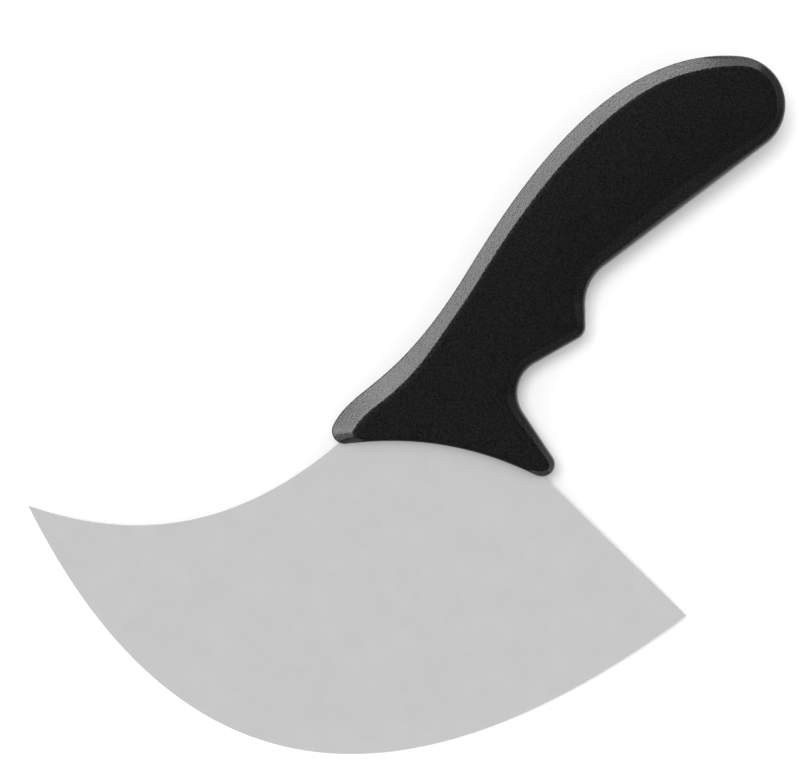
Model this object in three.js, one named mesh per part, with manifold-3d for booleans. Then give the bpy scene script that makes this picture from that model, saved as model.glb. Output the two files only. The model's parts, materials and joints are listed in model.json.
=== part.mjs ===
// A one-hand pastry knife: a half-moon steel blade whose tang is moulded into a curved plastic handle.
// Millimetres. The knife is drawn in the plane of its blade: x runs along the chord from the tip to the
// heel, y from the cutting edge towards the handle, z across the thickness. It is then laid down to rest.
import * as THREE from 'three';
import { mergeVertices } from 'three/addons/utils/BufferGeometryUtils.js';
import Module from 'manifold-3d';

// Blade: the outline is drawn with splines, each end given by an angle to the chord and a pull along it
const BLADE_CHORD = 180;
const BLADE_THICKNESS = 2.5;
const EDGE_TIP_ANGLE = 54;
const EDGE_TIP_PULL = 90.5;
const EDGE_HEEL_ANGLE = 46;
const EDGE_HEEL_PULL = 94;
const BACK_TIP_ANGLE = 10;
const BACK_TIP_PULL = 32;
const BACK_ROOT_ANGLE = 50;
const BACK_ROOT_PULL = 34.5;

// Cutting edge: a flat bevel ground on both faces, down to a thin land
const BEVEL_WIDTH = 4;
const EDGE_LAND = 0.3;

// Tang: the hidden bar of the blade, with round holes that the handle locks through
const TANG_WIDTH = 16;
const TANG_LENGTH = 58;
const TANG_FILLET = 6;
const LOCK_HOLE_DIAMETER = 8;
const LOCK_HOLE_COUNT = 3;
const FIT_CLEARANCE = 0.3;

// Handle front: it stands on the blade above the chord, arched between two round corners
const FRONT_LEFT = 77.4;
const FRONT_RISE = 30.5;
const FRONT_WIDTH = 61;
const FRONT_ARCH = 4;
const CORNER_RADIUS = 3.5;
const SIDE_WALL = 2.5;

// Finger side of the handle, from the guard to the butt: rounds joined by straights at these headings
const RAMP_HEADING = 133;
const RAMP_LENGTH = 14.4;
const NOTCH_RADIUS = 9.1;
const SHELF_HEADING = 39;
const SHELF_LENGTH = 13.3;
const RIDGE_RADIUS = 4.1;
const SHOULDER_HEADING = 100;
const SHOULDER_LENGTH = 5.7;
const GROOVE_RADIUS = 12.7;
const GRIP_HEADING = 46.5;
const GRIP_LENGTH = 54.3;
const BUTT_RADIUS = 13.4;
const BUTT_APEX_HEADING = 138;

// Spine of the handle: a spline up to a bend above the neck, and one from there to the butt
const SPINE_START_HEADING = 72;
const SPINE_START_PULL = 12;
const BEND_ALONG = 28.6;
const BEND_RISE = 50.5;
const BEND_HEADING = 68;
const BEND_PULL_BELOW = 36;
const BEND_PULL_ABOVE = 29;
const SPINE_END_HEADING = 6;
const SPINE_END_PULL = 35;

// Handle section: full thicknesses along the handle, the crown of its cheeks and the break of its front edge
const FRONT_THICKNESS = 16.5;
const NECK_THICKNESS = 15;
const PALM_THICKNESS = 20;
const BUTT_THICKNESS = 17;
const CHEEK_CROWN = 0.6;
const FRONT_EASE = 0.8;

// Chamfers between the side walls and the cheeks: widths along the spine from the front to the butt
const FRONT_CHAMFER = 5.5;
const NOSE_CHAMFER = 8;
const FOOT_CHAMFER = 7.6;
const NECK_CHAMFER = 5.1;
const BACK_CHAMFER = 5.8;
const CREST_CHAMFER = 4.9;
const BUTT_CHAMFER = 3.3;

// Chamfer widths along the finger side; at the ridge the width is a share of its radius
const GUARD_CHAMFER = 3;
const NOTCH_CHAMFER = 4;
const RIDGE_CHAMFER_SHARE = 0.8;
const GROOVE_CHAMFER = 4.9;
const GRIP_CHAMFER = 6.3;

// Section of a flank: the wall leans in to a chamfer, whose edges are rounded by shares of its width. The
// spine has a crisp section and the finger side a round one, which the spine takes on towards the butt
const CHAMFER_SLOPE = 40;
const INNER_ROLL_SHARE = 0.45;
const CRISP_ROLL_SHARE = 0.15;
const CRISP_WALL_LEAN = 3;
const ROUND_ROLL_SHARE = 0.6;
const ROUND_WALL_LEAN = 8;

// Where those sizes hold, as shares of the way from the handle's front to its butt
const FOOT_SHARE = 0.12;
const NECK_SHARE = 0.25;
const NARROW_SHARE = 0.3;
const BACK_SHARE = 0.65;
const PALM_SHARE = 0.72;
const CREST_SHARE = 0.85;
const ARCH_FADE_SHARE = 0.22;

// Fineness of the meshes
const OUTLINE_STEPS = 72;
const ROUND_STEPS = 12;
const HANDLE_ROWS = 110;
const CHEEK_STEPS = 6;
const ROLL_STEPS = 2;
const GRIND_STEPS = 72;
const TILT_HALVINGS = 30;

const wasm = await Module();
wasm.setup();

const radians = THREE.MathUtils.degToRad;
const RIGHT_ANGLE = Math.PI / 2;

/** Unit vector at an angle, in degrees, from the chord. */
function heading(degrees) {
  return new THREE.Vector2(Math.cos(radians(degrees)), Math.sin(radians(degrees)));
}

/** A point moved by a length along a direction. */
function along(point, direction, length) {
  return point.clone().addScaledVector(direction, length);
}

/** Closed solid of a geometry, with its shared corners merged and its collapsed triangles left out. */
function solidOf(geometry) {
  geometry.deleteAttribute('normal');
  geometry.deleteAttribute('uv');
  const merged = mergeVertices(geometry);
  const corners = merged.index.array;
  const triangles = [];
  for (let i = 0; i < corners.length; i += 3) {
    const [a, b, c] = corners.slice(i, i + 3);
    if (a !== b && b !== c && c !== a) triangles.push(a, b, c);
  }
  return new wasm.Manifold(new wasm.Mesh({
    numProp: 3,
    vertProperties: new Float32Array(merged.attributes.position.array),
    triVerts: new Uint32Array(triangles),
  }));
}

/** Named mesh of a solid. */
function meshOf(name, solid, material) {
  const { vertProperties, triVerts } = solid.getMesh();
  const geometry = new THREE.BufferGeometry();
  geometry.setAttribute('position', new THREE.BufferAttribute(vertProperties, 3));
  geometry.setIndex(new THREE.BufferAttribute(triVerts, 1));
  geometry.computeVertexNormals();
  const mesh = new THREE.Mesh(geometry, material);
  mesh.name = name;
  return mesh;
}

/** A flat shape given a thickness, half of it on each side of the blade's plane. */
function plate(shape, thickness, curveSegments) {
  const geometry = new THREE.ExtrudeGeometry(shape, { depth: thickness, bevelEnabled: false, curveSegments });
  return solidOf(geometry.translate(0, 0, -thickness / 2));
}

// Corners of the handle's front, and the points between them where the two long sides of the blade go in
const frontRight = FRONT_LEFT + FRONT_WIDTH;
const cornerRise = FRONT_RISE + CORNER_RADIUS;
const spineCorner = new THREE.Vector2(FRONT_LEFT + CORNER_RADIUS, cornerRise);
const guardCorner = new THREE.Vector2(frontRight - CORNER_RADIUS, cornerRise);
const frontTilt = Math.atan(4 * FRONT_ARCH / (guardCorner.x - spineCorner.x));
const backRoot = new THREE.Vector2(FRONT_LEFT + SIDE_WALL, FRONT_RISE);
const heelRoot = new THREE.Vector2(frontRight - SIDE_WALL, FRONT_RISE);

/** Finger side of the handle: each round turns to the next heading, then a straight follows it. */
function drawFingerSide() {
  const path = new THREE.Path();
  const runs = [
    { radius: CORNER_RADIUS, leftward: true, to: RAMP_HEADING, straight: RAMP_LENGTH },
    { radius: NOTCH_RADIUS, leftward: false, to: SHELF_HEADING, straight: SHELF_LENGTH },
    { radius: RIDGE_RADIUS, leftward: true, to: SHOULDER_HEADING, straight: SHOULDER_LENGTH },
    { radius: GROOVE_RADIUS, leftward: false, to: GRIP_HEADING, straight: GRIP_LENGTH },
    { radius: BUTT_RADIUS, leftward: true, to: BUTT_APEX_HEADING, straight: 0 },
  ];
  let facing = -THREE.MathUtils.radToDeg(frontTilt);
  let at = along(guardCorner, heading(facing - 90), CORNER_RADIUS);
  let centre;
  for (const run of runs) {
    const side = run.leftward ? 90 : -90;
    centre = along(at, heading(facing + side), run.radius);
    path.absarc(centre.x, centre.y, run.radius, radians(facing - side), radians(run.to - side), !run.leftward);
    at = along(along(centre, heading(run.to - side), run.radius), heading(run.to), run.straight);
    facing = run.to;
  }
  return { path, butt: centre };
}

/** Spine of the handle: round the front corner, two splines that meet at the bend, and round the butt. */
function drawSpineSide(butt) {
  const path = new THREE.Path();
  const start = along(spineCorner, heading(SPINE_START_HEADING + 90), CORNER_RADIUS);
  const bend = new THREE.Vector2(FRONT_LEFT + BEND_ALONG, FRONT_RISE + BEND_RISE);
  const end = along(butt, heading(SPINE_END_HEADING + 90), BUTT_RADIUS);
  path.absarc(
    spineCorner.x, spineCorner.y, CORNER_RADIUS,
    frontTilt - RIGHT_ANGLE, radians(SPINE_START_HEADING + 90), true,
  );
  path.curves.push(new THREE.CubicBezierCurve(
    start,
    along(start, heading(SPINE_START_HEADING), SPINE_START_PULL),
    along(bend, heading(BEND_HEADING), -BEND_PULL_BELOW),
    bend,
  ));
  path.curves.push(new THREE.CubicBezierCurve(
    bend,
    along(bend, heading(BEND_HEADING), BEND_PULL_ABOVE),
    along(end, heading(SPINE_END_HEADING), -SPINE_END_PULL),
    end,
  ));
  path.currentPoint.copy(end);
  path.absarc(
    butt.x, butt.y, BUTT_RADIUS,
    radians(SPINE_END_HEADING + 90), radians(BUTT_APEX_HEADING - 90), true,
  );
  return path;
}

const fingerSide = drawFingerSide();
const spineSide = drawSpineSide(fingerSide.butt);

/** Middle of the handle at a share of the way to its butt. */
function handleMiddle(share) {
  return spineSide.getPoint(share).lerp(fingerSide.path.getPoint(share), 0.5);
}

// Tang axis: through the middle of the neck, towards the middle of the palm
const neckMiddle = handleMiddle(NECK_SHARE);
const tangDirection = handleMiddle(PALM_SHARE).sub(neckMiddle).normalize();
const tangAngle = tangDirection.angle();
const tangLeft = new THREE.Vector2(-tangDirection.y, tangDirection.x);

/** Where two lines cross, each given by a point and a direction. */
function crossing(a, alongA, b, alongB) {
  const gap = b.clone().sub(a);
  return along(a, alongA, gap.cross(alongB) / alongA.cross(alongB));
}

// Straight heel edge, from the heel into the handle
const heel = new THREE.Vector2(BLADE_CHORD, 0);
const heelDirection = heelRoot.clone().sub(heel).normalize();
const backDirection = heading(BACK_ROOT_ANGLE);

/**
 * Tang from a skirt low in the blade to its round end, all grown by a margin. Its lock holes share out the
 * bar evenly, starting at the neck.
 */
function tangSolid(margin) {
  const halfWidth = TANG_WIDTH / 2 + margin;
  const fillet = TANG_FILLET - margin;
  const heelOut = new THREE.Vector2(heelDirection.y, -heelDirection.x);
  const backOut = new THREE.Vector2(-backDirection.y, backDirection.x);
  const heelSide = along(heelRoot, heelOut, margin);
  const backSide = along(backRoot, backOut, margin);
  const rightSide = along(neckMiddle, tangLeft, -halfWidth);
  const leftSide = along(neckMiddle, tangLeft, halfWidth);
  const filletCentre = crossing(
    along(heelSide, heelOut, fillet), heelDirection,
    along(rightSide, tangLeft, -fillet), tangDirection,
  );
  const barLength = TANG_LENGTH - TANG_WIDTH / 2;
  const end = along(neckMiddle, tangDirection, barLength);
  const leftRoot = crossing(backSide, backDirection, leftSide, tangDirection);
  const shape = new THREE.Shape();
  shape.moveTo(guardCorner.x, 0);
  shape.lineTo(heelSide.x, heelSide.y);
  shape.absarc(
    filletCentre.x, filletCentre.y, fillet,
    heelDirection.angle() + RIGHT_ANGLE, tangAngle + RIGHT_ANGLE, true,
  );
  shape.absarc(end.x, end.y, halfWidth, tangAngle - RIGHT_ANGLE, tangAngle + RIGHT_ANGLE, false);
  shape.lineTo(leftRoot.x, leftRoot.y);
  shape.lineTo(backSide.x, backSide.y);
  shape.lineTo(spineCorner.x, 0);
  for (let i = 0; i < LOCK_HOLE_COUNT; i += 1) {
    const centre = along(neckMiddle, tangDirection, barLength * i / LOCK_HOLE_COUNT);
    const hole = new THREE.Path();
    hole.absarc(centre.x, centre.y, LOCK_HOLE_DIAMETER / 2 - margin, 0, 2 * Math.PI);
    shape.holes.push(hole);
  }
  return plate(shape, BLADE_THICKNESS + 2 * margin, ROUND_STEPS);
}

/** Cutting edge, from the tip to the heel. */
function cuttingEdge() {
  const tip = new THREE.Vector2(0, 0);
  return new THREE.CubicBezierCurve(
    tip,
    along(tip, heading(-EDGE_TIP_ANGLE), EDGE_TIP_PULL),
    along(heel, heading(EDGE_HEEL_ANGLE), -EDGE_HEEL_PULL),
    heel,
  );
}

/** Stone that grinds one face: a wedge swept along the cutting edge, running out past both ends. */
function grindingWedge(face) {
  const edge = cuttingEdge();
  const lift = (point) => new THREE.Vector3(point.x, point.y, 0);
  const tip = edge.v0;
  const tipRunOut = along(tip, edge.getTangent(0), -BEVEL_WIDTH);
  const heelRunOut = along(heel, edge.getTangent(1), BEVEL_WIDTH);
  const path = new THREE.CurvePath();
  path.add(new THREE.LineCurve3(lift(tipRunOut), lift(tip)));
  path.add(new THREE.CubicBezierCurve3(lift(tip), lift(edge.v1), lift(edge.v2), lift(heel)));
  path.add(new THREE.LineCurve3(lift(heel), lift(heelRunOut)));
  const fall = (BLADE_THICKNESS - EDGE_LAND) / 2;
  const high = face * (BLADE_THICKNESS + fall) / 2;
  const low = face * (EDGE_LAND - fall) / 2;
  const overrun = BEVEL_WIDTH / 2;
  const wedge = new THREE.Shape([
    new THREE.Vector2(high, BEVEL_WIDTH + overrun),
    new THREE.Vector2(low, -overrun),
    new THREE.Vector2(high, -overrun),
  ]);
  return solidOf(new THREE.ExtrudeGeometry(wedge, { steps: GRIND_STEPS, extrudePath: path }));
}

/** Blade: the half-moon sheet, ground from both faces along the edge, with its tang. */
function bladeSolid() {
  const edge = cuttingEdge();
  const rootPull = along(backRoot, backDirection, -BACK_ROOT_PULL);
  const tipPull = heading(-BACK_TIP_ANGLE).multiplyScalar(BACK_TIP_PULL);
  const shape = new THREE.Shape();
  shape.moveTo(0, 0);
  shape.bezierCurveTo(edge.v1.x, edge.v1.y, edge.v2.x, edge.v2.y, heel.x, heel.y);
  shape.lineTo(heelRoot.x, heelRoot.y);
  shape.lineTo(backRoot.x, backRoot.y);
  shape.bezierCurveTo(rootPull.x, rootPull.y, tipPull.x, tipPull.y, 0, 0);
  const sheet = plate(shape, BLADE_THICKNESS, OUTLINE_STEPS);
  return sheet.subtract(grindingWedge(1)).subtract(grindingWedge(-1)).add(tangSolid(0));
}

/** Value at a share between stations, each [share, value], eased from one to the next. */
function eased(stations, share) {
  const last = stations.length - 1;
  const next = Math.max(1, stations.findIndex(([at], i) => i === last || at >= share));
  const [from, before] = stations[next - 1];
  const [to, after] = stations[next];
  return THREE.MathUtils.lerp(before, after, THREE.MathUtils.smoothstep(share, from, to));
}

/** Share of the finger side's length at the middle of one of its runs, counted with its straights. */
function fingerShare(run) {
  const lengths = fingerSide.path.getCurveLengths();
  const before = run > 0 ? lengths[run - 1] : 0;
  return (before + lengths[run]) / 2 / lengths.at(-1);
}

/** Share of a path's length at the end of its first curve, which is the round corner of the front. */
function cornerShare(path) {
  return path.getCurveLengths()[0] / path.getLength();
}

// Runs of the finger side: rounds, with a straight between each two
const NOTCH_RUN = 2;
const RIDGE_RUN = 4;
const GROOVE_RUN = 6;
const GRIP_RUN = 7;

const thicknessStations = [
  [0, FRONT_THICKNESS],
  [NECK_SHARE, NECK_THICKNESS],
  [PALM_SHARE, PALM_THICKNESS],
  [1, BUTT_THICKNESS],
];
const crownStations = [
  [0, 0],
  [PALM_SHARE, CHEEK_CROWN],
  [1, 0],
];
const spineFlank = {
  path: spineSide,
  inward: 1,
  corner: cornerShare(spineSide),
  frontReach: FRONT_CHAMFER,
  roundness: [
    [CREST_SHARE, 0],
    [1, 1],
  ],
  widths: [
    [0, FRONT_CHAMFER],
    [cornerShare(spineSide), NOSE_CHAMFER],
    [FOOT_SHARE, FOOT_CHAMFER],
    [NARROW_SHARE, NECK_CHAMFER],
    [BACK_SHARE, BACK_CHAMFER],
    [CREST_SHARE, CREST_CHAMFER],
    [1, BUTT_CHAMFER],
  ],
};
const fingerFlank = {
  path: fingerSide.path,
  inward: -1,
  corner: cornerShare(fingerSide.path),
  frontReach: -GUARD_CHAMFER,
  roundness: [
    [0, 1],
    [1, 1],
  ],
  widths: [
    [cornerShare(fingerSide.path), GUARD_CHAMFER],
    [fingerShare(NOTCH_RUN), NOTCH_CHAMFER],
    [fingerShare(RIDGE_RUN), RIDGE_RADIUS * RIDGE_CHAMFER_SHARE],
    [fingerShare(GROOVE_RUN), GROOVE_CHAMFER],
    [fingerShare(GRIP_RUN), GRIP_CHAMFER],
    [1, BUTT_CHAMFER],
  ],
};

/** Chamfer one unit wide, from the top of the wall in and up to the cheek, with its two edges rounded. */
function chamferProfile(outerRoll) {
  const slope = radians(CHAMFER_SLOPE);
  const face = 1 - outerRoll * (1 - Math.sin(slope)) - INNER_ROLL_SHARE * Math.sin(slope);
  const path = new THREE.Path();
  path.absarc(outerRoll, 0, outerRoll, 2 * RIGHT_ANGLE, slope + RIGHT_ANGLE, true);
  const faceEnd = along(path.currentPoint, heading(CHAMFER_SLOPE), face / Math.cos(slope));
  const centre = along(faceEnd, heading(CHAMFER_SLOPE - 90), INNER_ROLL_SHARE);
  path.absarc(centre.x, centre.y, INNER_ROLL_SHARE, slope + RIGHT_ANGLE, RIGHT_ANGLE, true);
  return path.getPoints(ROLL_STEPS / 2);
}

const crispChamfer = chamferProfile(CRISP_ROLL_SHARE);
const roundChamfer = chamferProfile(ROUND_ROLL_SHARE);
const topLevel = crispChamfer.length;

/** Way in from a side's outline to its cheek, square to the outline and as long as the chamfer is wide. */
function squareIn(flank, share) {
  const tangent = flank.path.getTangent(share);
  const normal = new THREE.Vector2(tangent.y, -tangent.x);
  return normal.multiplyScalar(flank.inward * eased(flank.widths, share));
}

/**
 * Way in from a side's outline to its cheek. Round the front corner it goes to a curve that bends the cheek's
 * edge from the front line, where the chamfer ends, to the way it takes past the corner.
 */
function wayIn(flank, share) {
  if (share >= flank.corner) return squareIn(flank, share);
  const pastCorner = flank.path.getPoint(flank.corner).add(squareIn(flank, flank.corner));
  const frontEnd = along(flank.path.getPoint(0), heading(0), flank.frontReach);
  const bend = crossing(frontEnd, heading(0), pastCorner, flank.path.getTangent(flank.corner));
  const cheekEdge = new THREE.QuadraticBezierCurve(frontEnd, bend, pastCorner);
  return cheekEdge.getPoint(share / flank.corner).sub(flank.path.getPoint(share));
}

/** Step of a flank's chamfer at a level: 0 is the middle of the wall, 1 its top, and the chamfer follows. */
function stepOf(flank, share, level) {
  const step = Math.max(Math.abs(level) - 1, 0);
  return crispChamfer[step].clone().lerp(roundChamfer[step], eased(flank.roundness, share));
}

/** Point of a flank at a level of its section. Levels below the middle of the wall are negative. */
function flankPoint(flank, share, level, half) {
  const way = wayIn(flank, share);
  const width = eased(flank.widths, share);
  const wall = half - width * stepOf(flank, share, topLevel).y;
  const step = stepOf(flank, share, level);
  const angle = THREE.MathUtils.lerp(CRISP_WALL_LEAN, ROUND_WALL_LEAN, eased(flank.roundness, share));
  const lean = level === 0 ? 0 : Math.tan(radians(angle)) * wall / 2;
  const place = along(flank.path.getPoint(share), way, lean / way.length() + step.x);
  const height = Math.sign(level) * (wall + width * step.y);
  return new THREE.Vector3(place.x, place.y, height);
}

/**
 * Point of the handle's skin. share runs from the front to the butt, across from the spine to the finger
 * side, and level from the lower cheek to the upper one. The front face ends lower than the cheeks, which
 * start behind it, so that its edges are broken. At the butt both sides meet in one point, so the skin closes
 * there by itself.
 */
function skinPoint(share, across, level, onFrontFace) {
  const half = eased(thicknessStations, share) / 2 - (onFrontFace ? FRONT_EASE : 0);
  const point = flankPoint(spineFlank, share, level, half);
  if (share === 1) return point;
  point.lerp(flankPoint(fingerFlank, share, level, half), across);
  point.z += eased(crownStations, share) * 4 * across * (1 - across) * point.z / half;
  const spine = spineSide.getPoint(share);
  const span = fingerSide.path.getPoint(share).sub(spine);
  const between = new THREE.Vector2(point.x, point.y).sub(spine).dot(span) / span.lengthSq();
  const arch = FRONT_ARCH * 4 * between * (1 - between);
  const behind = stepOf(spineFlank, share, level).lerp(stepOf(fingerFlank, share, level), across).x;
  const setBack = onFrontFace ? 0 : FRONT_EASE * behind;
  point.y += (arch + setBack) * (1 - THREE.MathUtils.smoothstep(share, 0, ARCH_FADE_SHARE));
  return point;
}

/** Handle: a block of skin bent to its outline, less the pocket, which leaves the lock plugs standing. */
function handleSolid() {
  const levels = 2 * topLevel;
  const skin = new THREE.BoxGeometry(HANDLE_ROWS, 1, levels, HANDLE_ROWS, CHEEK_STEPS, levels);
  const points = skin.attributes.position;
  for (let i = 0; i < points.count; i += 1) {
    const row = Math.round(points.getX(i) + HANDLE_ROWS / 2);
    const share = Math.max(row - 1, 0) / (HANDLE_ROWS - 1);
    const point = skinPoint(share, 0.5 - points.getY(i), Math.round(points.getZ(i)), row === 0);
    points.setXYZ(i, point.x, point.y, point.z);
  }
  return solidOf(skin).subtract(tangSolid(FIT_CLEARANCE));
}

const steel = new THREE.MeshStandardMaterial({ color: 0xc8c8c8, roughness: 0.35, metalness: 1 });
const plastic = new THREE.MeshStandardMaterial({ color: 0x1c1c1c, roughness: 0.6, metalness: 0 });
const blade = meshOf('blade', bladeSolid(), steel);
const handle = meshOf('handle', handleSolid(), plastic);

/** Height of a mesh's lowest corner once the knife is tilted about the chord. */
function lowestAt(mesh, tilt) {
  const points = mesh.geometry.attributes.position;
  let lowest = Infinity;
  for (let i = 0; i < points.count; i += 1) {
    lowest = Math.min(lowest, points.getY(i) * Math.sin(tilt) + points.getZ(i) * Math.cos(tilt));
  }
  return lowest;
}

/** Tilt at which blade and handle both touch the surface that the knife lies on, found by halving. */
function restingTilt() {
  let low = 0;
  let high = RIGHT_ANGLE / 2;
  for (let i = 0; i < TILT_HALVINGS; i += 1) {
    const tilt = (low + high) / 2;
    if (lowestAt(handle, tilt) < lowestAt(blade, tilt)) low = tilt;
    else high = tilt;
  }
  return low;
}

// Laid down: the flat knife turns about the chord until edge and handle touch the surface it rests on
const knife = new THREE.Group();
knife.add(blade, handle);
knife.rotation.x = restingTilt();
const laid = new THREE.Group();
laid.add(knife);
laid.updateMatrixWorld(true);
const box = new THREE.Box3().setFromObject(laid, true);
const middle = box.getCenter(new THREE.Vector3());
knife.position.set(-middle.x, -middle.y, -box.min.z);

export default laid;
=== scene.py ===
# A one-hand pastry knife: a half-moon steel blade whose root is moulded into a curved black plastic handle.
# Metres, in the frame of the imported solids. The knife is drawn in the plane of its blade, x along the chord
# from the tip to the heel and y from the cutting edge to the handle, and is then laid down as it rests.
import json

import bmesh
import bpy
import numpy as np
from mathutils import Matrix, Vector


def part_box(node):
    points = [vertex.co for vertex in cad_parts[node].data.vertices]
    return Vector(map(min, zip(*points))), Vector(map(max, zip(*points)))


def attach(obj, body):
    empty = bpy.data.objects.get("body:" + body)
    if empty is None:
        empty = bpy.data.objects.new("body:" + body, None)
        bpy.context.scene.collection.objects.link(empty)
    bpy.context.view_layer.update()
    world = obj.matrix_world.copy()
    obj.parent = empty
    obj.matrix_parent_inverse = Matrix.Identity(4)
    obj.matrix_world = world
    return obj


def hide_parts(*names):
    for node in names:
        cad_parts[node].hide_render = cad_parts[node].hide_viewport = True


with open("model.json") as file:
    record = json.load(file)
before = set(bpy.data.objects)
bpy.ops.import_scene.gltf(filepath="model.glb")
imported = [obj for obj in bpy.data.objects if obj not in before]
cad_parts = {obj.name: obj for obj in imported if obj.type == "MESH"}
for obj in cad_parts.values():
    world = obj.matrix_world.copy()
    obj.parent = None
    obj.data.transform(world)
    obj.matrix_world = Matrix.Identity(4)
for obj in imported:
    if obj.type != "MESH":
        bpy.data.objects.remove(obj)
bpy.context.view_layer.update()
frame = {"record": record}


# Blade: one sheet of stainless steel, stamped to a half moon with a horned tip. Both faces are ground to a
# fine satin and bevelled along the cutting edge, and the other edges are cut square. The handle is moulded
# round its root.

MM = 0.001
BLADE_CHORD = 180 * MM
BLADE_THICKNESS = 2.5 * MM
EDGE_TIP_ANGLE = -54
EDGE_TIP_PULL = 90.5 * MM
EDGE_HEEL_ANGLE = 46
EDGE_HEEL_PULL = 94 * MM
BACK_TIP_ANGLE = -10
BACK_TIP_PULL = 32 * MM
BACK_ROOT_ANGLE = 50
BACK_ROOT_PULL = 34.5 * MM
BACK_ROOT = np.array([79.9, 30.5]) * MM
HEEL_ROOT = np.array([135.9, 30.5]) * MM
ROOT_DEPTH = 10 * MM
BEVEL_WIDTH = 4 * MM
EDGE_LAND = 0.3 * MM
BEVEL_MOST = 0.7
BLADE_COLUMNS = 480
BLADE_ROWS = 24
CURVE_POINTS = 2001
SEAM = 0.002 * MM
BEVEL_CREASE = np.radians(10)
FIT = 0.9995
FLOOR_CLEARANCE = 0.004 * MM


def heading(degrees):
    """Unit vector at an angle from the chord: its cosine along the chord and its sine across."""
    return np.array([np.cos(np.radians(degrees)), np.sin(np.radians(degrees))])


def spline(start, start_pull, end_pull, end):
    """Cubic curve from start to end, drawn towards two pulls: the four points in Bernstein's proportions."""
    t = np.linspace(0, 1, CURVE_POINTS)[:, None]
    return (
        (1 - t) ** 3 * start
        + 3 * t * (1 - t) ** 2 * start_pull
        + 3 * t ** 2 * (1 - t) * end_pull
        + t ** 3 * end
    )


def blade_skin():
    """Both faces of the blade, as columns along the chord by rows up one face and down the other.

    A column is the straight line, square to the chord, from the cutting edge up to the back, the root or the
    heel edge. The half thickness grows in proportion to the distance from the cutting edge until the bevel
    ends, and is full from there on.
    """
    tip = np.zeros(2)
    heel = np.array([BLADE_CHORD, 0])
    edge = spline(
        tip,
        tip + EDGE_TIP_PULL * heading(EDGE_TIP_ANGLE),
        heel - EDGE_HEEL_PULL * heading(EDGE_HEEL_ANGLE),
        heel,
    )
    back = spline(
        tip,
        tip + BACK_TIP_PULL * heading(BACK_TIP_ANGLE),
        BACK_ROOT - BACK_ROOT_PULL * heading(BACK_ROOT_ANGLE),
        BACK_ROOT,
    )
    heel_line = (HEEL_ROOT - heel) / np.linalg.norm(HEEL_ROOT - heel)
    hidden = [BACK_ROOT + ROOT_DEPTH * heading(BACK_ROOT_ANGLE), HEEL_ROOT + ROOT_DEPTH * heel_line]
    upper = np.vstack([back, hidden, heel])

    x = BLADE_CHORD * (1 - np.cos(np.linspace(0, np.pi, BLADE_COLUMNS))) / 2
    low = np.interp(x, edge[:, 0], edge[:, 1])
    high = np.interp(x, upper[:, 0], upper[:, 1])
    lean = np.hypot(1, np.gradient(low, x))
    height = high - low

    bevel = np.minimum(BEVEL_WIDTH * lean, BEVEL_MOST * height)
    face = bevel[:, None] + (height - bevel)[:, None] * np.linspace(0, 1, BLADE_ROWS)
    rise = np.hstack([np.zeros_like(x)[:, None], face])
    ground = np.clip(rise / lean[:, None] / BEVEL_WIDTH, 0, 1)
    half = (EDGE_LAND + (BLADE_THICKNESS - EDGE_LAND) * ground) / 2
    across = np.broadcast_to(x[:, None], rise.shape)
    up = low[:, None] + rise
    upper_face = np.stack([across, up, half], axis=-1)
    lower_face = np.stack([across, up, -half], axis=-1)[:, ::-1]
    return np.concatenate([upper_face, lower_face, upper_face[:, :1]], axis=1)


def sewn_mesh(name, grids):
    """Smooth mesh of one or more grids of points, sewn where points coincide, its faces turned outwards."""
    points = np.concatenate([grid.reshape(-1, 3) for grid in grids])
    quads = []
    first = 0
    for grid in grids:
        index = first + np.arange(grid[..., 0].size).reshape(grid.shape[:2])
        corners = [index[:-1, :-1], index[1:, :-1], index[1:, 1:], index[:-1, 1:]]
        quads.append(np.stack(corners, axis=-1).reshape(-1, 4))
        first += index.size
    mesh = bpy.data.meshes.new(name)
    mesh.from_pydata(points.tolist(), [], np.concatenate(quads).tolist())
    body = bmesh.new()
    body.from_mesh(mesh)
    bmesh.ops.remove_doubles(body, verts=body.verts, dist=SEAM)
    bmesh.ops.recalc_face_normals(body, faces=body.faces)
    body.to_mesh(mesh)
    body.free()
    mesh.shade_smooth()
    return mesh


# Plane of the blade as the knife lies: its upper face gives the tilt, and its lowest corner the place. The
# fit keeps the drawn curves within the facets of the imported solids
blade_face = next(mount for mount in frame["record"]["mounts"] if mount["name"] == "blade_face")
face_up = np.array(blade_face["axis"])
plane = np.array([[1, 0, 0], [0, face_up[2], -face_up[1]], face_up])
flat_blade = blade_skin()
lowest = FIT * (flat_blade @ plane).reshape(-1, 3).min(axis=0)
place = np.array(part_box("blade")[0]) - lowest + [0, 0, FLOOR_CLEARANCE]


def laid_down(points):
    """Points drawn in the blade's plane, fitted, turned to its tilt and moved to where the knife lies."""
    return FIT * points @ plane + place


blade_mesh = sewn_mesh("blade_sheet", [laid_down(flat_blade)])
blade_mesh.set_sharp_from_angle(angle=BEVEL_CREASE)
blade = bpy.data.objects.new("blade_sheet", blade_mesh)
bpy.context.collection.objects.link(blade)

STEEL_GREY = (0.58, 0.66)
STEEL_ROUGHNESS = (0.32, 0.40)
CLOUDS = {"Scale": 140.0, "Detail": 4.0, "Roughness": 0.6}
GRIND_LINES = {"Scale": 700.0, "Detail": 3.0}
GRIND_SLANT = {"Rotation": (0, 0, np.radians(35)), "Scale": (0.08, 1, 1)}
GRIND_BUMP = {"Strength": 0.03, "Distance": 0.01 * MM}


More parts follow.
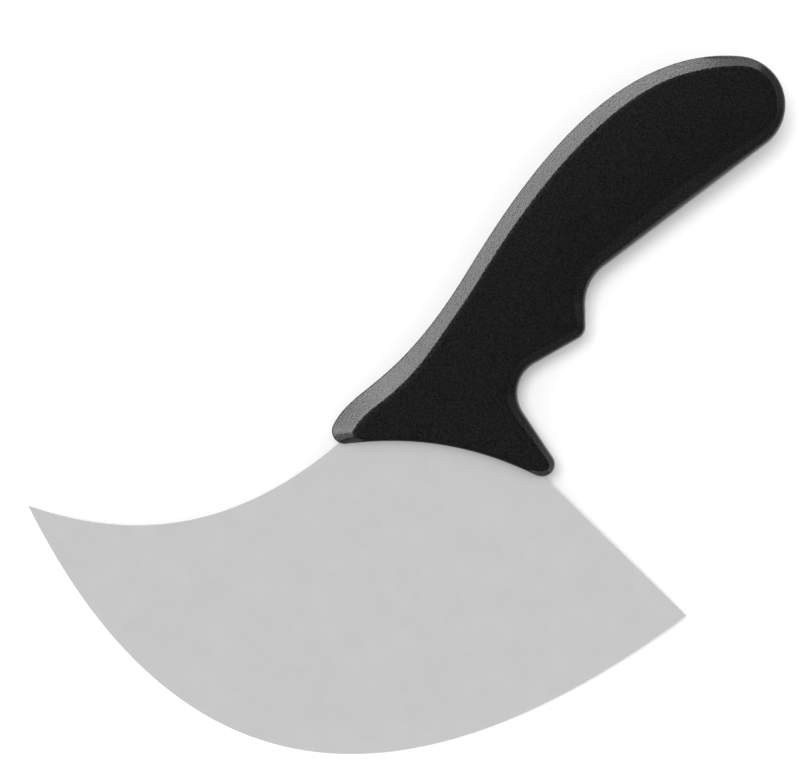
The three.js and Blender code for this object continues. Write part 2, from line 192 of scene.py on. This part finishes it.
def finish(name):
    """New material: its Principled shader, and ways to add a node, wire the shader and spread a value.

    A value between 0 and 1 is spread by a straight line over the range from the least to the most.
    """
    material = bpy.data.materials.new(name)
    material.use_nodes = True
    tree = material.node_tree
    shader = next(node for node in tree.nodes if node.type == "BSDF_PRINCIPLED")

    def add(kind, settings=None, **wires):
        node = tree.nodes.new(kind)
        for socket, value in (settings or {}).items():
            node.inputs[socket].default_value = value
        for socket, source in wires.items():
            tree.links.new(source, node.inputs[socket])
        return node

    def wire(source, socket):
        tree.links.new(source, shader.inputs[socket])

    def spread(value, least, most, settings=None):
        ends = {"To Min": least, "To Max": most, **(settings or {})}
        return add("ShaderNodeMapRange", ends, Value=value).outputs["Result"]

    return material, shader, add, wire, spread


def satin_steel():
    """Ground stainless steel: faint clouds in tone and gloss, and fine slanting grinding lines."""
    material, shader, add, wire, spread = finish("satin_steel")
    shader.inputs["Metallic"].default_value = 1
    where = add("ShaderNodeTexCoord").outputs["Object"]
    clouds = add("ShaderNodeTexNoise", CLOUDS, Vector=where).outputs["Fac"]
    wire(spread(clouds, *STEEL_GREY), "Base Color")
    wire(spread(clouds, *STEEL_ROUGHNESS), "Roughness")
    slant = add("ShaderNodeMapping", GRIND_SLANT, Vector=where).outputs["Vector"]
    lines = add("ShaderNodeTexNoise", GRIND_LINES, Vector=slant).outputs["Fac"]
    wire(add("ShaderNodeBump", GRIND_BUMP, Height=lines).outputs["Normal"], "Normal")
    return material


blade_mesh.materials.append(satin_steel())
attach(blade, "root")
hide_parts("blade")


# Handle: one black plastic moulding with a fine grain, shot round the blade's root. Chamfers join its flat
# cheeks to the spine and to the finger side, which has a guard, a notch for the index finger, a ridge and a
# groove.

FRONT_LEFT = 77.4 * MM
FRONT_RISE = 30.5 * MM
FRONT_WIDTH = 61 * MM
FRONT_ARCH = 4 * MM
CORNER_RADIUS = 3.5 * MM
RAMP_HEADING = 133
RAMP_LENGTH = 14.4 * MM
NOTCH_RADIUS = 9.1 * MM
SHELF_HEADING = 39
SHELF_LENGTH = 13.3 * MM
RIDGE_RADIUS = 4.1 * MM
SHOULDER_HEADING = 100
SHOULDER_LENGTH = 5.7 * MM
GROOVE_RADIUS = 12.7 * MM
GRIP_HEADING = 46.5
GRIP_LENGTH = 54.3 * MM
BUTT_RADIUS = 13.4 * MM
BUTT_APEX_HEADING = 138

SPINE_START_HEADING = 72
SPINE_START_PULL = 12 * MM
BEND = np.array([FRONT_LEFT + 28.6 * MM, FRONT_RISE + 50.5 * MM])
BEND_HEADING = 68
BEND_PULL_BELOW = 36 * MM
BEND_PULL_ABOVE = 29 * MM
SPINE_END_HEADING = 6
SPINE_END_PULL = 35 * MM

FRONT_THICKNESS = 16.5 * MM
NECK_THICKNESS = 15 * MM
PALM_THICKNESS = 20 * MM
BUTT_THICKNESS = 17 * MM
CHEEK_CROWN = 0.6 * MM
FRONT_EASE = 0.8 * MM
NECK_SHARE = 0.25
PALM_SHARE = 0.72
ARCH_FADE_SHARE = 0.22

FRONT_FLANK = 5.5 * MM
NOSE_FLANK = 8 * MM
FOOT_FLANK = 7.6 * MM
NECK_FLANK = 5.1 * MM
BACK_FLANK = 5.8 * MM
CREST_FLANK = 4.9 * MM
BUTT_FLANK = 3.3 * MM
GUARD_FLANK = 3 * MM
NOTCH_FLANK = 4 * MM
RIDGE_FLANK = 3.28 * MM
GROOVE_FLANK = 4.9 * MM
GRIP_FLANK = 6.3 * MM
FOOT_SHARE = 0.12
NARROW_SHARE = 0.3
BACK_SHARE = 0.65
CREST_SHARE = 0.85
CHAMFER_SLOPE = 40
INNER_ROLL = 0.45
CRISP_ROLL = 0.04
CRISP_WALL_LEAN = 3
ROUND_ROLL = 0.6
ROUND_WALL_LEAN = 8

HANDLE_ROWS = 360
EASE_ROWS = 6
WALL_STEPS = 6
CHAMFER_STEPS = 32
CHEEK_STEPS = 24


def arc(centre, radius, start, end):
    """Points round a centre from one angle to another, in degrees: the centre plus a radius at each angle."""
    return centre + radius * heading(np.linspace(start, end, CURVE_POINTS)).T


def turning_path(start, start_heading, bends):
    """Path that turns evenly through each bend (radius, new heading) and then runs straight for a length.

    The heading is a straight-line function of the distance gone, level on the straights, and the path is the
    running sum of unit steps along it. Also returns the distance gone at each end of a bend or straight.
    """
    radius, to, straight = np.array(bends).T
    turned = np.abs(np.diff([start_heading, *to]))
    lengths = np.stack([radius * np.radians(turned), straight], axis=1).ravel()
    stations = np.concatenate([[0], np.cumsum(lengths)])
    headings = np.concatenate([[start_heading], np.repeat(to, 2)])
    gone = np.linspace(0, stations[-1], len(bends) * CURVE_POINTS)
    middle = (gone[1:] + gone[:-1]) / 2
    steps = heading(np.interp(middle, stations, headings)).T * (gone[1] - gone[0])
    return np.vstack([start, start + np.cumsum(steps, axis=0)]), stations


def spine_side(front_corner, front_tilt, butt):
    """Path round the front corner, along two curves that meet above the neck, and round the butt.

    Also returns the length of its front corner, which is the radius times the angle.
    """
    corner = arc(front_corner, CORNER_RADIUS, front_tilt - 90, SPINE_START_HEADING - 270)
    crest = arc(butt, BUTT_RADIUS, SPINE_END_HEADING + 90, BUTT_APEX_HEADING - 90)
    below = spline(
        corner[-1],
        corner[-1] + SPINE_START_PULL * heading(SPINE_START_HEADING),
        BEND - BEND_PULL_BELOW * heading(BEND_HEADING),
        BEND,
    )
    above = spline(
        BEND,
        BEND + BEND_PULL_ABOVE * heading(BEND_HEADING),
        crest[0] - SPINE_END_PULL * heading(SPINE_END_HEADING),
        crest[0],
    )
    corner_length = CORNER_RADIUS * np.radians(front_tilt - SPINE_START_HEADING + 180)
    return np.vstack([corner, below[1:], above[1:], crest[1:]]), corner_length


def carried(path, share):
    """Points of a path at shares of its length, and unit normals on its left, read off its running length."""
    steps = np.diff(path, axis=0)
    gone = np.concatenate([[0], np.cumsum(np.hypot(*steps.T))])
    leading = np.gradient(path, gone, axis=0)
    normal = np.stack([-leading[:, 1], leading[:, 0]], axis=1)
    at = share * gone[-1]
    points = np.stack([np.interp(at, gone, path[:, k]) for k in range(2)], axis=-1)
    left = np.stack([np.interp(at, gone, normal[:, k]) for k in range(2)], axis=-1)
    return points, left


def eased(share, stations):
    """Values given at stations, each pair joined by a smooth step: 3 t squared less 2 t cubed."""
    at, value = np.array(stations).T
    before = np.clip(np.searchsorted(at, share, side="right") - 1, 0, len(at) - 2)
    t = np.clip((share - at[before]) / (at[before + 1] - at[before]), 0, 1)
    return value[before] + (value[before + 1] - value[before]) * t * t * (3 - 2 * t)


spine_corner = np.array([FRONT_LEFT + CORNER_RADIUS, FRONT_RISE + CORNER_RADIUS])
guard_corner = np.array([FRONT_LEFT + FRONT_WIDTH - CORNER_RADIUS, FRONT_RISE + CORNER_RADIUS])
front_tilt = np.degrees(np.arctan(4 * FRONT_ARCH / (guard_corner - spine_corner)[0]))
finger_path, finger_stations = turning_path(
    guard_corner + CORNER_RADIUS * heading(-front_tilt - 90),
    -front_tilt,
    [
        (CORNER_RADIUS, RAMP_HEADING, RAMP_LENGTH),
        (NOTCH_RADIUS, SHELF_HEADING, SHELF_LENGTH),
        (RIDGE_RADIUS, SHOULDER_HEADING, SHOULDER_LENGTH),
        (GROOVE_RADIUS, GRIP_HEADING, GRIP_LENGTH),
        (BUTT_RADIUS, BUTT_APEX_HEADING, 0),
    ],
)
butt_centre = finger_path[-1] - BUTT_RADIUS * heading(BUTT_APEX_HEADING - 90)
spine_path, nose_length = spine_side(spine_corner, front_tilt, butt_centre)
nose_share = nose_length / np.hypot(*np.diff(spine_path, axis=0).T).sum()

# Shares of the finger side's length: where the guard's corner ends, and the middles of what follows it
finger_shares = finger_stations / finger_stations[-1]
guard_end = finger_shares[1]
notch_share, ridge_share, groove_share = (finger_shares[2:8:2] + finger_shares[3:8:2]) / 2
grip_share = (finger_shares[7] + finger_shares[8]) / 2

thickness = [
    (0, FRONT_THICKNESS),
    (NECK_SHARE, NECK_THICKNESS),
    (PALM_SHARE, PALM_THICKNESS),
    (1, BUTT_THICKNESS),
]
crown = [(0, 0), (PALM_SHARE, CHEEK_CROWN), (1, 0)]
front_fade = [(0, 1), (ARCH_FADE_SHARE, 0), (1, 0)]
spine_flank = [
    (0, FRONT_FLANK),
    (nose_share, NOSE_FLANK),
    (FOOT_SHARE, FOOT_FLANK),
    (NARROW_SHARE, NECK_FLANK),
    (BACK_SHARE, BACK_FLANK),
    (CREST_SHARE, CREST_FLANK),
    (1, BUTT_FLANK),
]
finger_flank = [
    (guard_end, GUARD_FLANK),
    (notch_share, NOTCH_FLANK),
    (ridge_share, RIDGE_FLANK),
    (groove_share, GROOVE_FLANK),
    (grip_share, GRIP_FLANK),
    (1, BUTT_FLANK),
]

# The spine has a crisp chamfer and the finger side a round one, which the spine takes on towards the butt
spine_roundness = [(CREST_SHARE, 0), (1, 1)]
finger_roundness = 1


def chamfer_profile(outer_roll):
    """Chamfer from the side wall to the cheek, one unit wide: in from the wall, and up, its edges rounded."""
    outer_in = outer_roll * (1 - np.sin(np.radians(CHAMFER_SLOPE)))
    inner_in = INNER_ROLL * np.sin(np.radians(CHAMFER_SLOPE))
    face = (1 - outer_in - inner_in) / np.cos(np.radians(CHAMFER_SLOPE))
    return turning_path(np.zeros(2), 90, [(outer_roll, CHAMFER_SLOPE, face), (INNER_ROLL, 0, 0)])[0]


crisp_chamfer = chamfer_profile(CRISP_ROLL)
round_chamfer = chamfer_profile(ROUND_ROLL)


def flank(path, share, widths, corner_share, inward, front_reach):
    """Rail of one side, the way in from it to the edge of the cheek, and the width that its chamfer goes by.

    The way in is square to the rail. Round the front corner it goes to a quadratic curve that bends the
    cheek's edge from the front line, where the chamfer ends, to the way it takes past the corner.
    """
    rail, left = carried(path, share)
    width = eased(share, widths)
    corner, corner_left = carried(path, np.array(corner_share))
    front_point = carried(path, np.array(0.0))[0] + [front_reach, 0]
    past = corner + inward * corner_left * eased(np.array(corner_share), widths)
    slope = corner_left[1] / corner_left[0]
    bend = np.array([past[0] + (past[1] - front_point[1]) * slope, front_point[1]])
    t = np.clip(share / corner_share, 0, 1)[..., None]
    fan = front_point * (1 - t) ** 2 + bend * 2 * t * (1 - t) + past * t ** 2 - rail
    way = np.where(t < 1, fan, inward * left * width[..., None])
    return rail, way, width


def raised(turn, half, width, roundness):
    """Lean, share of the way in, and height, at a turn: 0 to 1 up the wall, and 1 to 2 over the chamfer.

    The wall leans in as a parabola, and the chamfer is mixed from the crisp and the round one by the
    roundness.
    """
    wall = np.clip(np.abs(turn), 0, 1)
    step = np.clip(np.abs(turn) - 1, 0, 1) * (len(crisp_chamfer) - 1)
    steps = np.arange(len(crisp_chamfer))
    crisp_in, crisp_up = (np.interp(step, steps, crisp_chamfer[:, k]) for k in range(2))
    round_in, round_up = (np.interp(step, steps, round_chamfer[:, k]) for k in range(2))
    behind = crisp_in + (round_in - crisp_in) * roundness
    up = crisp_up + (round_up - crisp_up) * roundness
    rise = crisp_chamfer[-1, 1] + (round_chamfer[-1, 1] - crisp_chamfer[-1, 1]) * roundness
    wall_height = half - width * rise
    angle = CRISP_WALL_LEAN + (ROUND_WALL_LEAN - CRISP_WALL_LEAN) * roundness
    lean = np.tan(np.radians(angle)) * wall_height * wall ** 2 / 2
    return lean, behind, np.sign(turn) * (wall_height * wall + width * up)


def gone_in(rail, way, lean, behind):
    """Points inside a rail: along the way in by the lean, and by the share of the way that is behind."""
    return rail + way * (lean / np.linalg.norm(way, axis=-1) + behind)[..., None]


def handle_skin(share, ease, across, turn):
    """Skin of the handle, as a function of four parameters.

    Share runs from the front to the butt, across from the spine to the finger side, and turn from the lower
    cheek, -2, over the lower chamfer, the wall and the upper chamfer to the upper cheek, 2.
    The two sides are paths. A side goes in from its path and up by the section of its wall and chamfer. The
    cheek lies straight between the two chamfers, with a parabola across it for its crown. The front is
    arched by another parabola, which fades towards the neck. Its edges are rounded over as ease runs from 0
    to 1.
    """
    half = eased(share, thickness) / 2 - FRONT_EASE * (1 - np.sin(ease * np.pi / 2))
    spine, spine_way, spine_width = flank(spine_path, share, spine_flank, nose_share, -1, FRONT_FLANK)
    finger, finger_way, finger_width = flank(finger_path, share, finger_flank, guard_end, 1, -GUARD_FLANK)
    spine_lean, spine_in, spine_height = raised(turn, half, spine_width, eased(share, spine_roundness))
    finger_lean, finger_in, finger_height = raised(turn, half, finger_width, finger_roundness)
    start = gone_in(spine, spine_way, spine_lean, spine_in)
    end = gone_in(finger, finger_way, finger_lean, finger_in)
    flat = start + (end - start) * across[..., None]
    behind = spine_in + (finger_in - spine_in) * across
    height = spine_height + (finger_height - spine_height) * across
    height = height + eased(share, crown) * 4 * across * (1 - across) * height / half
    span = finger - spine
    between = np.sum((flat - spine) * span, axis=-1) / np.maximum(np.sum(span ** 2, axis=-1), SEAM ** 2)
    arch = FRONT_ARCH * 4 * between * (1 - between)
    set_back = arch + FRONT_EASE * (1 - np.cos(ease * np.pi / 2)) * behind
    return np.stack([flat[..., 0], flat[..., 1] + set_back * eased(share, front_fade), height], axis=-1)


wall_turns = np.linspace(0, 1, WALL_STEPS, endpoint=False)
half_turns = np.concatenate([wall_turns, np.linspace(1, 2, CHAMFER_STEPS + 1)])
turns = np.concatenate([-half_turns[:0:-1], half_turns])
steps_across = np.linspace(0, 1, CHEEK_STEPS + 1)
round_across = np.concatenate([0 * turns, steps_across, 0 * turns + 1, steps_across[::-1]])
round_turn = np.concatenate([turns, 0 * steps_across + 2, turns[::-1], 0 * steps_across - 2])
row = np.arange(EASE_ROWS + HANDLE_ROWS + 1)[:, None]
ease = np.minimum(row / EASE_ROWS, 1)
shares = np.maximum(row - EASE_ROWS, 0) / HANDLE_ROWS
sides = handle_skin(*np.broadcast_arrays(shares, ease, round_across, round_turn))
front = handle_skin(*np.broadcast_arrays(np.zeros(1), np.zeros(1), steps_across[:, None], turns))
handle_mesh = sewn_mesh("handle_moulding", [laid_down(sides), laid_down(front)])
handle = bpy.data.objects.new("handle_moulding", handle_mesh)
bpy.context.collection.objects.link(handle)

PLASTIC_GREY = (0.0, 0.038)
PLASTIC_ROUGHNESS = (0.16, 0.22)
PLASTIC_SPECULAR = 0.35
GRAIN = {"Scale": 2000.0, "Detail": 2.0}
GRAIN_TONE_AND_HIGHLIGHT = {"From Min": 0.3, "From Max": 0.7}
GRAIN_BUMP = {"Strength": 0.5, "Distance": 0.09 * MM}
PATCHES = {"Scale": 60.0, "Detail": 3.0}


def grained_plastic():
    """Black moulded plastic: a fine pebbled grain whose tone differs at random and whose tops are painted
    lighter than its hollows, a painted highlight, and patches rubbed by hands.
    """
    material, shader, add, wire, spread = finish("grained_plastic")
    shader.inputs["Specular IOR Level"].default_value = PLASTIC_SPECULAR
    where = add("ShaderNodeTexCoord").outputs["Object"]
    grain = add("ShaderNodeTexNoise", GRAIN, Vector=where).outputs["Fac"]
    # Base colour follows the grain's bump height: random tone, with a painted highlight on the tops of the
    # grain
    wire(spread(grain, *PLASTIC_GREY, GRAIN_TONE_AND_HIGHLIGHT), "Base Color")
    patches = add("ShaderNodeTexNoise", PATCHES, Vector=where).outputs["Fac"]
    wire(spread(patches, *PLASTIC_ROUGHNESS), "Roughness")
    wire(add("ShaderNodeBump", GRAIN_BUMP, Height=grain).outputs["Normal"], "Normal")
    return material


handle_mesh.materials.append(grained_plastic())
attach(handle, "root")
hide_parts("handle")


# Stage: a plain white floor under the knife, soft lamps with flags that keep each off what it would glare
# in, and a long-lens camera that looks straight at the blade's face, rolled as in the photograph.

FLOOR_SIZE = 6.0
FLOOR_DROP = 0.05 * MM
FLOOR_WHITE = (0.9, 0.9, 0.9, 1)
FLOOR_LIFT = 0.2
VIEW_ROLL = 9.486
VIEW_CENTRE = np.array([93.31, 49.4, 0]) * MM
VIEW_WIDTH = 215.48 * MM
LENS = 150.0
SENSOR = 36.0
WORLD_LEVEL = 0.12
OVERHEAD_SIZE = (7.0, 7.0)
OVERHEAD_HEIGHT = 1.6
OVERHEAD_WAY = (0, -0.4, 1)
BLADE_LEVEL = 0.83
FLOOR_LEVEL = 0.57
HANDLE_LEVEL = 0.1
KEY_SIZE = (0.98, 0.98)
KEY_REACH = 3.5
KEY_HEADING = 180
KEY_ELEVATION = 82
KEY_LEVEL = 21.5
LOW_REACH = 0.9
LOW_ELEVATION = 10
WINDOW_SIZE = (1.85, 0.2)
WINDOW_HEADING = 143
WINDOW_LEVEL = 9.3
WINDOW_END_SIZE = (0.5, 0.2)
NOSE_END_HEADING = 206
BUTT_END_HEADING = 80
WINDOW_END_LEVEL = 2.8
FILL_SIZE = (1.0, 0.25)
FILL_HEADING = 42
FILL_LEVEL = 0.3

floor_ways = ((-1, -1), (1, -1), (1, 1), (-1, 1))
floor_corners = [(x * FLOOR_SIZE / 2, y * FLOOR_SIZE / 2, -FLOOR_DROP) for x, y in floor_ways]
floor_mesh = bpy.data.meshes.new("floor")
floor_mesh.from_pydata(floor_corners, [], [(0, 1, 2, 3)])
floor = bpy.data.objects.new("floor", floor_mesh)
bpy.context.collection.objects.link(floor)


def white_floor():
    """White paper that keeps its shadow, lifted a little where the camera or a reflection looks at it."""
    material, shader, add, wire, spread = finish("white_floor")
    shader.inputs["Roughness"].default_value = 1
    shader.inputs["Specular IOR Level"].default_value = 0
    shader.inputs["Base Color"].default_value = FLOOR_WHITE
    shader.inputs["Emission Color"].default_value = FLOOR_WHITE
    ray = add("ShaderNodeLightPath").outputs
    seen = ray["Is Camera Ray"]
    for mirrored in (ray["Is Glossy Ray"], ray["Is Transmission Ray"]):
        either = add("ShaderNodeMath")
        either.operation = "MAXIMUM"
        for source, socket in zip((seen, mirrored), either.inputs):
            material.node_tree.links.new(source, socket)
        seen = either.outputs["Value"]
    wire(spread(seen, 0, FLOOR_LIFT), "Emission Strength")
    return material


floor_mesh.materials.append(white_floor())

world = bpy.data.worlds.new("studio")
world.use_nodes = True
sky = world.node_tree.nodes["Background"].inputs
sky["Color"].default_value = (1, 1, 1, 1)
sky["Strength"].default_value = WORLD_LEVEL
bpy.context.scene.world = world

aim = laid_down(VIEW_CENTRE)


def facing(axes, position):
    """Matrix whose columns are the three axes given and whose place is the position."""
    matrix = np.eye(4)
    matrix[:3, :3] = np.array(axes).T
    matrix[:3, 3] = position
    return Matrix(matrix.tolist())


def lamp_way(degrees, elevation):
    """Direction of a lamp: a heading along the floor, raised by an elevation."""
    out, up = heading(elevation)
    return np.array([*(out * heading(degrees)), up])


def soft_light(name, lit, size, level, direction, distance):
    """Flat lamp of a size, aimed at the knife from a direction, with flags that keep it off all but the lit.

    Its level is its brightness, 1 being white paper: the power over pi and over the area.
    """
    lamp = bpy.data.lights.new(name, "AREA")
    lamp.shape = "RECTANGLE"
    lamp.size, lamp.size_y = size
    lamp.energy = level * np.pi * size[0] * size[1]
    light = bpy.data.objects.new(name, lamp)
    out = np.array(direction) / np.linalg.norm(direction)
    side = np.cross([0, 0, 1], out)
    side = side / np.linalg.norm(side)
    light.matrix_world = facing([side, np.cross(out, side), out], aim + out * distance)
    bpy.context.collection.objects.link(light)
    light.light_linking.receiver_collection = bpy.data.collections.new(name + "_lit")
    light.light_linking.receiver_collection.objects.link(lit)


def low_light(name, size, level, degrees):
    """Soft light on the handle, low over the floor from a heading, which its chamfers turn to the camera."""
    soft_light(name, handle, size, level, lamp_way(degrees, LOW_ELEVATION), LOW_REACH)


soft_light("overhead_blade", blade, OVERHEAD_SIZE, BLADE_LEVEL, OVERHEAD_WAY, OVERHEAD_HEIGHT)
soft_light("overhead_floor", floor, OVERHEAD_SIZE, FLOOR_LEVEL, OVERHEAD_WAY, OVERHEAD_HEIGHT)
soft_light("overhead_handle", handle, OVERHEAD_SIZE, HANDLE_LEVEL, OVERHEAD_WAY, OVERHEAD_HEIGHT)
soft_light("key", floor, KEY_SIZE, KEY_LEVEL, lamp_way(KEY_HEADING, KEY_ELEVATION), KEY_REACH)
low_light("window", WINDOW_SIZE, WINDOW_LEVEL, WINDOW_HEADING)
low_light("window_nose_end", WINDOW_END_SIZE, WINDOW_END_LEVEL, NOSE_END_HEADING)
low_light("window_butt_end", WINDOW_END_SIZE, WINDOW_END_LEVEL, BUTT_END_HEADING)
low_light("fill", FILL_SIZE, FILL_LEVEL, FILL_HEADING)

lens = bpy.data.cameras.new("camera")
lens.sensor_width = SENSOR
lens.lens = LENS
camera = bpy.data.objects.new("camera", lens)
view_right = np.array([*heading(VIEW_ROLL), 0]) @ plane
view_up = np.array([*heading(VIEW_ROLL + 90), 0]) @ plane
camera.matrix_world = facing([view_right, view_up, face_up], aim + face_up * VIEW_WIDTH * LENS / SENSOR)
bpy.context.collection.objects.link(camera)
bpy.context.scene.camera = camera
bpy.context.scene.view_settings.view_transform = "Standard"
